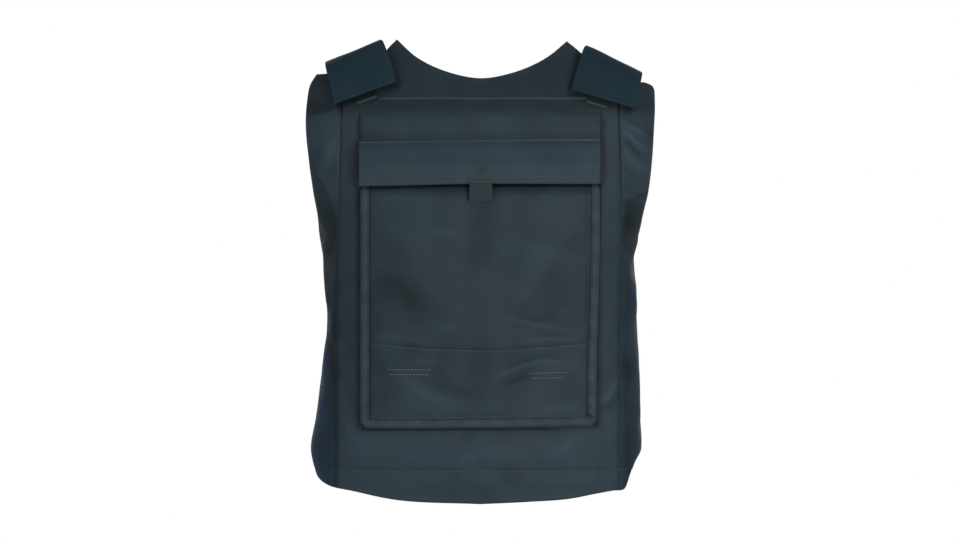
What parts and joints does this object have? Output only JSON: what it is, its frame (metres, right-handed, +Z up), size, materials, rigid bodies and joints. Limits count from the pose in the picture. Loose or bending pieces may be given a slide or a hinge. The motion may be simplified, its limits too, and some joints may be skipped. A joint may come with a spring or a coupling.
{
  "type": "demining vest",
  "caption": "Padded protective vest with front and back panels, wide shoulder straps, overlapping side wings and a front plate pocket under a flap.",
  "frame": {"origin": "midway between the two shoulder straps, level with their undersides at the tops of the shoulders, where a wearer's shoulders carry the vest", "axes": "+Z up along the wearer's back, -Y out of the vest's front, +X to the right of someone who faces the front"},
  "size_m": [0.4028, 0.261, 0.5317],
  "materials": {
    "coated_nylon": "tight plain weave with a soft satin coating, dark slate blue",
    "dark_nylon": "matt woven nylon, darker blue",
    "binding_tape": "ribbed binding tape, matt slate grey",
    "webbing": "woven webbing, matt dark grey"
  },
  "bodies": {
    "root": {"front_panel": "coated_nylon", "back_panel": "coated_nylon", "pocket_backing": "coated_nylon", "plate_pocket": "coated_nylon", "pocket_binding": "binding_tape", "pocket_flap": "coated_nylon", "flap_tab": "webbing", "shoulder_strap_left": "dark_nylon", "shoulder_strap_right": "dark_nylon", "strap_tab_left": "webbing", "strap_tab_right": "webbing"}
  },
  "joints": []
}
